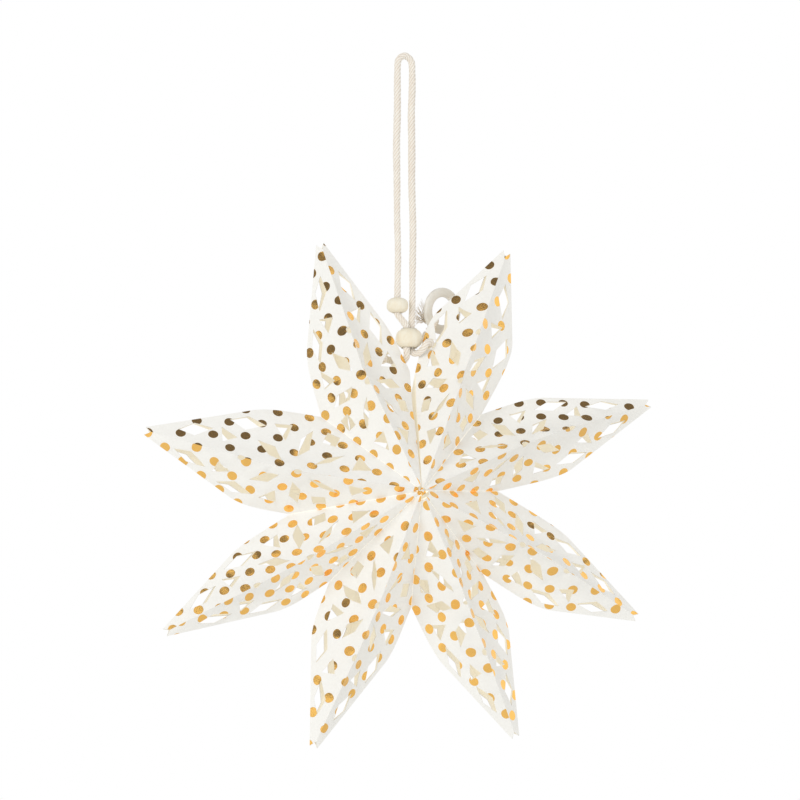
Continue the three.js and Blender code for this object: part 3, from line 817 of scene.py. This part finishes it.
def pressed_heights(index, corners, plan, triangles, on_ridge, on_rim, fixed):
    """The sheet's heights over its plan: flat facets, pressed hollow and eased between the folds."""
    facets = facets_of(corners, "left") + facets_of(corners, "right")
    height = by_facet(facets, [[[c[2]] for c in facet] for facet in facets], plan)[:, 0]
    x = plan[:, 0]
    ridge_height = np.interp(x, [c[0] for c in corners["ridge"]], [c[2] for c in corners["ridge"]])
    near_bend = np.clip(1 - np.abs(x - BEND) / RIDGE_EASE, 0, 1)
    height[on_ridge] = (ridge_height - RIDGE_DIP * near_bend ** 2)[on_ridge]
    across = np.clip(1 - height / np.maximum(ridge_height, 0.1), 0, 1)
    hollow = HOLLOW[index] * np.clip((x - HOLLOW_START) / HOLLOW_LENGTH, 0, 1)
    height *= 1 - hollow * across * (1 - across) * 2
    height[on_rim] = 0
    pairs = np.concatenate([triangles[:, [0, 1]], triangles[:, [1, 2]], triangles[:, [2, 0]]])
    one, other = np.unique(np.sort(pairs, axis=1), axis=0).T
    neighbours = np.bincount(np.append(one, other), minlength=len(plan)).clip(1)
    for _ in range(SMOOTHINGS):
        total = np.bincount(one, height[other], len(plan)) + np.bincount(other, height[one], len(plan))
        height = np.where(fixed, height, 0.4 * height + 0.6 * total / neighbours)
    return height


def foil_places(corners, side, fit, plan):
    """Plan places counted in the foil's rows on the flat sheet, and the rows' turn and stretch."""
    turn, stretch, *start = fit
    turn = math.radians(turn)
    flat = by_facet(facets_of(corners, side), flat_facets(corners, side), plan)
    along, across = flat[:, 0], flat[:, 1] * stretch
    rows = np.stack([along * math.cos(turn) + across * math.sin(turn),
                     across * math.cos(turn) - along * math.sin(turn)], axis=1)
    return rows / DOT_PITCH - start, (turn, stretch)


def wall_faces(wall, sign, plan, height, fronts, backs, vertices):
    """The wall from the front sheet to the back one. Where it is deep enough it is set back behind
    the glue, and its set-back corners are added to the vertices."""
    wall = wall[np.argsort(np.linalg.norm(plan[wall], axis=1))]
    run = plan[wall[-1]] - plan[wall[0]]
    inward = np.array((run[1], -run[0])) / np.linalg.norm(run) * sign
    rows = []
    for v in wall:
        row = [fronts[v], backs[v]]
        deep = height[v] - WALL_LIP
        if deep > LEAST_WALL:
            x, z = plan[v] + inward * WALL_RECESS
            row[1:1] = [len(vertices), len(vertices) + 1]
            vertices += [np.array((x, -deep, z)), np.array((x, deep, z))]
        rows.append(row)
    faces = []
    for near, far in zip(rows, rows[1:]):
        if len(near) != len(far):
            near, far = (near[0], near[-1]), (far[0], far[-1])
        for k in range(len(near) - 1):
            face = list(dict.fromkeys([near[k], far[k], far[k + 1], near[k + 1]]))
            if len(face) > 2:
                p, q, r = (vertices[v] for v in face[:3])
                outward = np.cross(q - p, r - p)[2] * sign > 0
                faces.append(tuple(face if outward else reversed(face)))
    return faces


def mark_folds(mesh, folded):
    """Sharp edges at the folds and round every cut, so that each panel is shaded as one sheet."""
    work = bmesh.new()
    work.from_mesh(mesh)
    for edge in work.edges:
        folds = folded[edge.verts[0].index] and folded[edge.verts[1].index]
        edge.smooth = not (edge.is_boundary or (folds and edge.calc_face_angle(0) > SHARP_FOLD))
    work.to_mesh(mesh)
    work.free()


def paper_object(name, index, vertices, faces, folded):
    """The folded sheet as an object in the star's place, and the vertices that it uses."""
    turn = math.radians(POINTS[index][0])
    x, y, z = np.array(vertices).T
    placed = np.stack([x * math.cos(turn) - z * math.sin(turn), y,
                       x * math.sin(turn) + z * math.cos(turn) - STAR_DROP], axis=1) / 1000
    used = np.unique(np.concatenate([np.array(face) for face in faces]))
    renumber = np.full(len(placed), -1)
    renumber[used] = np.arange(len(used))
    thing = add_mesh(name, placed[used], [renumber[list(face)] for face in faces], None)
    mark_folds(thing.data, np.append(folded, np.zeros(len(vertices) - len(folded), bool))[used])
    return thing


def thicken(thing, thickness, rim_offset):
    """A sheet given its thickness in millimetres, with the next slot's material on its inner face."""
    thick = thing.modifiers.new("paper_thickness", "SOLIDIFY")
    thick.thickness = thickness / 1000
    thick.offset = 0
    thick.material_offset = 1
    thick.material_offset_rim = rim_offset


def star_point(index):
    """One folded and pierced point of the star."""
    corners = point_corners(index)
    ridge, walls, rims = fold_lines(corners)
    edges = {side: [*walls[side][:-1], *rims[side]] for side in SIDES}
    outline = [*edges["right"], ridge[-1], *reversed(edges["left"]), ridge[0]]
    windows = window_outlines(index, corners)
    cord_holes = [cord_outline(index)] if index in CORD_HOLES else []
    plan, triangles = triangulated(outline, ridge, [*windows, *cord_holes], POINTS[index][1])

    on_ridge = lies_on([ridge], plan)
    on_rim = lies_on(rims.values(), plan)
    tip = [edges["left"][-1], ridge[-1], edges["right"][-1]]
    folded = on_ridge | on_rim | lies_on([*walls.values(), tip], plan)
    height = pressed_heights(index, corners, plan, triangles, on_ridge, on_rim, folded)

    # The front and the back sheet meet at the rims. The windows and the cord's hole are left out
    middles = plan[triangles].mean(axis=1)
    left_half = middles[:, 1] > np.interp(middles[:, 0], *zip(*ridge))
    paper = ~np.any([inside_outline(window, middles) for window in windows], axis=0)
    beside_cord = paper.copy()
    for hole in cord_holes:
        beside_cord &= ~inside_outline(hole, middles)
    foil = {side: foil_places(corners, side, fit, plan) for side, fit in zip(SIDES, FOIL[index])}
    fronts = np.arange(len(plan))
    backs = np.where(on_rim, fronts, fronts + len(plan))
    vertices = [np.array((x, y * h, z)) for y in (-1, 1) for (x, z), h in zip(plan, height)]
    faces, foil_rows, foil_turns = [], [], []
    front_kept = beside_cord if index == PIERCED_IN_FRONT else paper
    for numbers, kept, shift in ((fronts, front_kept, 0), (backs, beside_cord, BACK_SHIFT)):
        for triangle, is_left in zip(triangles[kept], left_half[kept]):
            if shift:
                triangle = triangle[::-1]
            rows, turn = foil["left" if is_left else "right"]
            faces.append(tuple(numbers[triangle]))
            foil_rows.extend(rows[triangle] + shift)
            foil_turns.extend([turn] * 3)

    wall_slots = {}
    for side, sign in SIDES.items():
        wall = np.nonzero(lies_on([walls[side]], plan))[0]
        slot = OPEN_WALL_SLOT if seam_beside(index, side) == OPEN_SEAM else GLUED_WALL_SLOT
        for face in wall_faces(wall, sign, plan, height, fronts, backs, vertices):
            wall_slots[len(faces)] = slot
            faces.append(face)
            foil_rows.extend([(0.5, 0.5)] * len(face))
            foil_turns.extend([(0.0, 1.0)] * len(face))

    thing = paper_object(f"paper_point_{index + 1}", index, vertices, faces, np.tile(folded, 2))
    for name, values in (("foil_rows", foil_rows), ("foil_turn", foil_turns)):
        layer = thing.data.uv_layers.new(name=name)
        layer.data.foreach_set("uv", np.array(values, np.float32).ravel())
    for material in PAPER_SLOTS:
        thing.data.materials.append(material)
    for face, slot in wall_slots.items():
        thing.data.polygons[face].material_index = slot
    thicken(thing, PAPER, 2)
    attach(thing, "star")
    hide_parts(f"star_point_{index + 1}")


def add_sockets(group, way, kind, names):
    for name in names:
        group.interface.new_socket(name, in_out=way, socket_type="NodeSocket" + kind)


def fibre_group():
    """The fibres of matt paper: a fine unevenness, and the colour that goes with it."""
    group = bpy.data.node_groups.new("paper_fibres", "ShaderNodeTree")
    add_sockets(group, "INPUT", "Color", ("Dark", "Light"))
    add_sockets(group, "OUTPUT", "Color", ("Colour",))
    add_sockets(group, "OUTPUT", "Float", ("Height",))
    inner = add_node(group, "NodeGroupInput")
    outer = add_node(group, "NodeGroupOutput")
    fibres = object_noise(group, Scale=900.0, Detail=6.0, Roughness=0.7)
    share = add_node(group, "ShaderNodeMapRange")
    set_inputs(share, {"From Min": 0.3, "From Max": 0.7})
    link(group, fibres, "Fac", share, "Value")
    tone = add_node(group, "ShaderNodeMix", data_type="RGBA")
    link(group, share, "Result", tone, "Factor")
    link(group, inner, "Dark", tone, 6)
    link(group, inner, "Light", tone, 7)
    link(group, tone, 2, outer, "Colour")
    link(group, fibres, "Fac", outer, "Height")
    return group


def foil_group():
    """1 on a dot of the foil's square rows and 0 between them."""
    group = bpy.data.node_groups.new("foil_dots", "ShaderNodeTree")
    add_sockets(group, "INPUT", "Float", ("Dot radius",))
    add_sockets(group, "OUTPUT", "Float", ("Mask",))
    inner = add_node(group, "NodeGroupInput")
    outer = add_node(group, "NodeGroupOutput")
    rows = add_node(group, "ShaderNodeUVMap", uv_map="foil_rows")
    turns = add_node(group, "ShaderNodeUVMap", uv_map="foil_turn")
    parts = add_node(group, "ShaderNodeSeparateXYZ")
    link(group, turns, "UV", parts, "Vector")
    wrap = add_node(group, "ShaderNodeVectorMath", operation="WRAP")
    link(group, rows, "UV", wrap, 0)
    wrap.inputs[1].default_value = (0.5, 0.5, 0.5)
    wrap.inputs[2].default_value = (-0.5, -0.5, -0.5)
    spin = add_node(group, "ShaderNodeVectorRotate", rotation_type="Z_AXIS")
    link(group, wrap, "Vector", spin, "Vector")
    link(group, parts, "X", spin, "Angle")
    split = add_node(group, "ShaderNodeSeparateXYZ")
    link(group, spin, "Vector", split, "Vector")
    squeezed = add_node(group, "ShaderNodeMath", operation="DIVIDE")
    link(group, split, "Y", squeezed, 0)
    link(group, parts, "Y", squeezed, 1)
    joined = add_node(group, "ShaderNodeCombineXYZ")
    link(group, split, "X", joined, "X")
    link(group, squeezed, "Value", joined, "Y")
    length = add_node(group, "ShaderNodeVectorMath", operation="LENGTH")
    link(group, joined, "Vector", length, 0)
    scaled = add_node(group, "ShaderNodeMath", operation="MULTIPLY", at_1=DOT_PITCH)
    link(group, length, "Value", scaled, 0)
    short = add_node(group, "ShaderNodeMath", operation="SUBTRACT")
    link(group, inner, "Dot radius", short, 0)
    link(group, scaled, "Value", short, 1)
    edge = add_node(group, "ShaderNodeMath", operation="MULTIPLY_ADD", at_1=8.0, at_2=0.5, use_clamp=True)
    link(group, short, "Value", edge, 0)
    link(group, edge, "Value", outer, "Mask")
    return group


paper_fibres = fibre_group()
foil_dots = foil_group()


def add_fibres(tree, shader, dark, light, strength):
    """The fibre group with its own two tones, and its bump on the shader."""
    fibres = add_node(tree, "ShaderNodeGroup")
    fibres.node_tree = paper_fibres
    set_inputs(fibres, {"Dark": (*dark, 1), "Light": (*light, 1)})
    return fibres, bumped(tree, shader, fibres, "Height", strength, 0.00008)


def outside_material():
    material, tree, shader = new_material("paper_with_foil")
    # A faint warm painted glow lifts the whole outside, standing in for light that comes through the paper
    set_inputs(shader, {"Emission Color": (1.0, 0.94, 0.83, 1), "Emission Strength": 0.035})
    dots = add_node(tree, "ShaderNodeGroup")
    dots.node_tree = foil_dots
    set_inputs(dots, {"Dot radius": DOT_RADIUS})
    fibres, fibre_bump = add_fibres(tree, shader, (0.90, 0.89, 0.855), (0.94, 0.935, 0.905), 0.2)
    creases = object_noise(tree, Scale=1100.0, Detail=3.0)
    pressed = add_node(tree, "ShaderNodeMath", operation="MULTIPLY")
    link(tree, creases, "Fac", pressed, 0)
    link(tree, dots, "Mask", pressed, 1)
    bumped(tree, shader, pressed, "Value", 0.55, 0.00012, under=fibre_bump)
    colour = add_node(tree, "ShaderNodeMix", data_type="RGBA")
    link(tree, dots, "Mask", colour, "Factor")
    link(tree, fibres, "Colour", colour, 6)
    colour.inputs[7].default_value = (1.0, 0.575, 0.13, 1)
    link(tree, colour, 2, shader, "Base Color")
    link(tree, dots, "Mask", shader, "Metallic")
    rough = add_node(tree, "ShaderNodeMapRange")
    set_inputs(rough, {"To Min": 0.75, "To Max": 0.24})
    link(tree, dots, "Mask", rough, "Value")
    link(tree, rough, "Result", shader, "Roughness")
    return material


def plain_paper(name, dark, light, painted_glow=0.0):
    """Paper without foil, with a painted warm glow that stands in for the light that comes through it."""
    material, tree, shader = new_material(name)
    fibres, _ = add_fibres(tree, shader, dark, light, 0.25)
    link(tree, fibres, "Colour", shader, "Base Color")
    set_inputs(shader, {
        "Roughness": 0.85, "Emission Color": (1.0, 0.93, 0.80, 1), "Emission Strength": painted_glow})
    return material


paper_outside = outside_material()
# The inside and the walls have a painted glow for the light that the paper lets through. The glued walls'
# outer faces are a lighter copy of the wall paper with a stronger painted glow.
paper_inside = plain_paper("paper_inside", (0.88, 0.85, 0.76), (0.92, 0.89, 0.80), 0.15)
paper_cut = plain_paper("paper_cut_edge", (0.86, 0.84, 0.80), (0.90, 0.88, 0.84))
paper_wall = plain_paper("paper_wall", (0.88, 0.85, 0.76), (0.90, 0.86, 0.76), 0.14)
paper_seam_painted_light = plain_paper("paper_seam_painted_light", (0.94, 0.92, 0.86), (0.96, 0.94, 0.88), 0.3)
# The inside of each sheet and wall takes the material in the slot after its outer one
PAPER_SLOTS = (
    paper_outside, paper_inside, paper_cut, paper_wall, paper_inside, paper_seam_painted_light, paper_inside)
OPEN_WALL_SLOT, GLUED_WALL_SLOT = 3, 5
for number in range(len(POINTS)):
    star_point(number)


# The gathered ends
# In the star's middle the sheets' inner ends are pressed together, and small folded scraps of
# them, with cut dots of foil, fill the opening between the points.
SCRAP_HALF_WIDTH, SCRAP_TAPER, SCRAP_FOLD, SCRAP_DROOP = 1.3, 0.5, 1.3, 2.2
SCRAP_PAPER, SCRAP_FOIL = 0.3, 1.6
# Each scrap's middle, direction, length, distance in front of the star's plane, and row start
SCRAPS = [
    (-3.4, 1.4, 205, 3.6, 34.2, -0.14), (-0.6, 1.8, 140, 3.4, 33.6, 0.3),
    (1.9, -0.4, 20, 3.6, 33.8, -0.05), (-1.0, -1.5, 250, 3.2, 34.4, -0.1),
    (-3.8, -1.2, 182, 3.4, 33.2, 0.12), (1.2, 1.4, 60, 3.0, 34.6, -0.2),
]
work = bmesh.new()
foil_rows = work.loops.layers.uv.new("foil_rows")
foil_turn = work.loops.layers.uv.new("foil_turn")
for x, z, heading, length, front, phase in SCRAPS:
    heading = math.radians(heading)
    along = Vector((math.cos(heading), 0, math.sin(heading)))
    side = Vector((-along.z, 0, along.x))
    scrap = bmesh.ops.create_grid(work, x_segments=5, y_segments=4, size=1)["verts"]
    for loop in {loop for vertex in scrap for loop in vertex.link_loops}:
        t, w = (loop.vert.co.x + 1) / 2, loop.vert.co.y
        loop[foil_rows].uv = (phase + t * length / DOT_PITCH, phase + w * SCRAP_FOIL / DOT_PITCH)
        loop[foil_turn].uv = (0.0, 1.0)
    for vertex in scrap:
        t, w = (vertex.co.x + 1) / 2, vertex.co.y
        fold = SCRAP_FOLD * (1 - abs(w)) * (1 - SCRAP_TAPER * t)
        vertex.co = (Vector((x, SCRAP_DROOP * t * t - front - fold, z - STAR_DROP))
                     + along * (t - 0.5) * length + side * w * (SCRAP_HALF_WIDTH - SCRAP_TAPER * t)) / 1000
ends = smooth_object(work, "gathered_ends", "star")
ends.data.materials.append(paper_outside)
ends.data.materials.append(paper_inside)
thicken(ends, SCRAP_PAPER, 1)


# The glue films
# Thin dried glue between the walls of neighbouring points, slightly glossy and uneven, with a painted
# glow that lightens the gaps. These are the CAD's own solids.
def glue_material():
    material, tree, shader = new_material("dried_glue")
    streaks = object_noise(tree, Scale=220.0, Detail=3.0)
    colour = two_tone(tree, streaks, "Fac", (0.90, 0.86, 0.77), (0.95, 0.92, 0.85))
    link(tree, colour, "Color", shader, "Base Color")
    # The emission is a painted glow that brightens the narrow gaps between the points
    set_inputs(shader, {"Roughness": 0.4, "Coat Weight": 0.2,
                        "Emission Color": (1.0, 0.93, 0.80, 1), "Emission Strength": 0.3})
    return material


glue = glue_material()
for name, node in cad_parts.items():
    if name.startswith("glue_film"):
        node.data.materials.clear()
        node.data.materials.append(glue)


# The studio
# A pale floor far below, a white surround, a large soft lamp at the upper left front and a weaker
# one at the lower right, and four dark cards that only the foil and other glossy faces mirror.
FLOOR_HALF_WIDTH, FLOOR_HEIGHT = 9, -1.6
SURROUND_STRENGTH, CARD_GLOW = 0.69, 0.09


def flat_sheet(name, corners, material):
    thing = add_mesh(name, corners, [(0, 1, 2, 3)], None)
    thing.data.materials.append(material)
    return thing


def floor_material():
    material, tree, shader = new_material("studio_floor")
    clouds = object_noise(tree, Scale=3.0, Detail=3.0)
    colour = two_tone(tree, clouds, "Fac", (0.87, 0.87, 0.86), (0.93, 0.93, 0.92))
    link(tree, colour, "Color", shader, "Base Color")
    set_inputs(shader, {"Roughness": 0.9})
    return material


flat_sheet("studio_floor", [(FLOOR_HALF_WIDTH * x, FLOOR_HALF_WIDTH * y, FLOOR_HEIGHT)
                            for x, y in ((-1, -1), (1, -1), (1, 1), (-1, 1))], floor_material())

world = bpy.data.worlds.new("studio")
scene.world = world
world.use_nodes = True
tree = world.node_tree
tree.nodes.clear()
output = add_node(tree, "ShaderNodeOutputWorld")
lit = add_node(tree, "ShaderNodeBackground", Color=(1.0, 0.995, 0.98, 1), Strength=SURROUND_STRENGTH)
white = add_node(tree, "ShaderNodeBackground", Color=(1, 1, 1, 1), Strength=1.0)
rays = add_node(tree, "ShaderNodeLightPath")
seen = add_node(tree, "ShaderNodeMath", operation="MAXIMUM")
link(tree, rays, "Is Camera Ray", seen, 0)
link(tree, rays, "Is Glossy Ray", seen, 1)
either = add_node(tree, "ShaderNodeMath", operation="MAXIMUM")
link(tree, seen, "Value", either, 0)
link(tree, rays, "Is Transmission Ray", either, 1)
choose = add_node(tree, "ShaderNodeMixShader")
link(tree, either, "Value", choose, "Fac")
link(tree, lit, "Background", choose, 1)
link(tree, white, "Background", choose, 2)
link(tree, choose, "Shader", output, "Surface")


def dark_card(name, corners):
    material, _, shader = new_material(name)
    set_inputs(shader, {"Base Color": (0, 0, 0, 1), "Emission Color": (1, 0.93, 0.8, 1),
                        "Emission Strength": CARD_GLOW})
    thing = flat_sheet(name, corners, material)
    thing.visible_camera = False
    thing.visible_diffuse = False
    thing.visible_shadow = False


dark_card("dark_card_left", [
    (-0.6, -1.2, -0.2), (-0.6, 1.2, -0.2), (-0.6, 1.2, 0.2), (-0.6, -1.2, 0.2)])
dark_card("dark_card_top", [
    (-0.5, -0.75, 0.4), (0.5, -0.75, 0.4), (0.5, 0.75, 0.4), (-0.5, 0.75, 0.4)])
dark_card("dark_card_corner", [
    (0.5, -1.0, 0.4), (0.95, -1.0, 0.4), (0.95, 0.0, 0.4), (0.5, 0.0, 0.4)])
dark_card("dark_card_right", [
    (0.85, -1.0, -0.1), (0.85, -0.45, -0.1), (0.85, -0.45, 0.16), (0.85, -1.0, 0.16)])


def lamp(name, place, size, power):
    data = bpy.data.lights.new(name, "AREA")
    data.shape = "DISK"
    data.size = size
    data.energy = power
    thing = add_object(name, data)
    thing.location = place
    thing.rotation_euler = (STAR_CENTRE - Vector(place)).to_track_quat("-Z", "Y").to_euler()
    thing.visible_glossy = False


lamp("soft_lamp", (-2.9, -2.8, 0.5), 2.4, 47)
lamp("fill_lamp", (2.6, -2.6, -1.0), 2.4, 19)
